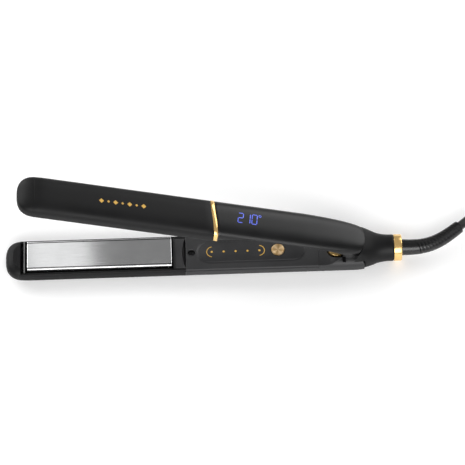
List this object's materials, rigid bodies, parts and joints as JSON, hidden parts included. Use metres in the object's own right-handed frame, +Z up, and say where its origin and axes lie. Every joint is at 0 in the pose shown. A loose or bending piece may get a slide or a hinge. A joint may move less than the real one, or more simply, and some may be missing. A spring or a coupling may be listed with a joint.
{
  "type": "flat iron",
  "caption": "Hair straightener with two hinged arms lying open, floating heated plates, control pad, display, gold trim and a swivel mains cord in a tied hank.",
  "frame": {"origin": "on the surface it lies on, under the middle of the iron without its free cord", "axes": "+X along the arms from the tips to the cord, +Z up, +Y across"},
  "size_m": [0.539, 0.063, 0.108],
  "materials": {
    "shell": "soft-touch matt, fine grain",
    "cover": "satin moulded",
    "pad": "satin, smooth",
    "gold": "polished, warm gold plating",
    "plate": "polished titanium-coated aluminium",
    "ceramic": "unglazed ceramic",
    "carrier": "heat-resistant moulding",
    "sensor_bead": "glass bead",
    "steel": "zinc plated",
    "board": "solder mask",
    "brass": "turned",
    "rubber": "semi-matt PVC",
    "tie": "soft strap",
    "plug": "matt moulded PVC",
    "pin_metal": "nickel plated"
  },
  "bodies": {
    "lower_arm": {"lower_tip_cap": "shell", "lower_front_shell": "shell", "lower_plate_spring_front": "steel", "lower_plate_spring_rear": "steel", "lower_cover_screw": "steel", "lower_inner_cover": "cover", "lower_handle_shell": "shell", "control_pad": "pad", "button_switch": "steel", "control_board": "board", "lower_hinge_housing": "shell", "hinge_bracket": "steel", "hinge_pin": "steel", "hinge_spring": "steel", "tail_collar": "shell", "tail_ring": "gold"},
    "lower_plate_float": {"lower_plate": "plate", "lower_heater": "ceramic", "lower_plate_carrier": "carrier", "lower_temperature_sensor": "sensor_bead"},
    "power_button": {"power_button": "gold"},
    "lock": {"lock_knob": "gold"},
    "upper_arm": {"upper_tip_cap": "shell", "upper_front_shell": "shell", "upper_plate_spring_front": "steel", "upper_plate_spring_rear": "steel", "upper_cover_screw": "steel", "upper_inner_cover": "cover", "upper_handle_shell": "shell", "trim_ring": "gold", "display_board": "board", "hinge_block": "carrier"},
    "upper_plate_float": {"upper_plate": "plate", "upper_heater": "ceramic", "upper_plate_carrier": "carrier", "upper_temperature_sensor": "sensor_bead"},
    "cord_swivel": {"swivel_core": "carrier", "contact_ring_front": "brass", "contact_ring_rear": "brass", "strain_relief": "rubber", "power_cord": "rubber", "cord_hank": "rubber", "hank_tie": "tie", "plug_lead": "rubber", "plug_body": "plug", "plug_pin_near": "pin_metal", "plug_pin_far": "pin_metal"}
  },
  "joints": [
    {"name": "arm_hinge", "type": "hinge", "parent": "lower_arm", "child": "upper_arm", "pos_m": [0.11, 0, 0.01598], "axis": [0, -1, 0], "range_deg": [0, 17.7], "stiffness_Nm_per_rad": 0.9, "springref_deg": -28.65, "deforming": ["hinge_spring"]},
    {"name": "lower_plate_slide", "type": "slide", "parent": "lower_arm", "child": "lower_plate_float", "axis": [0, 0, -1], "range_m": [0, 0.0012], "stiffness_N_per_m": 2000, "springref_m": -0.003, "deforming": ["lower_plate_spring_front", "lower_plate_spring_rear"]},
    {"name": "upper_plate_slide", "type": "slide", "parent": "upper_arm", "child": "upper_plate_float", "axis": [0.304, 0, 0.9527], "range_m": [0, 0.0012], "stiffness_N_per_m": 2000, "springref_m": -0.003, "deforming": ["upper_plate_spring_front", "upper_plate_spring_rear"]},
    {"name": "button_press", "type": "slide", "parent": "lower_arm", "child": "power_button", "axis": [0, 0, -1], "range_m": [0, 0.0008], "stiffness_N_per_m": 800, "springref_m": -0.001},
    {"name": "lock_slide", "type": "slide", "parent": "lower_arm", "child": "lock", "axis": [1, 0, 0], "range_m": [0, 0.004]},
    {"name": "cord_swivel_turn", "type": "hinge", "parent": "lower_arm", "child": "cord_swivel", "pos_m": [0.145, 0, 0.0102], "axis": [1, 0, 0], "continuous": true}
  ]
}
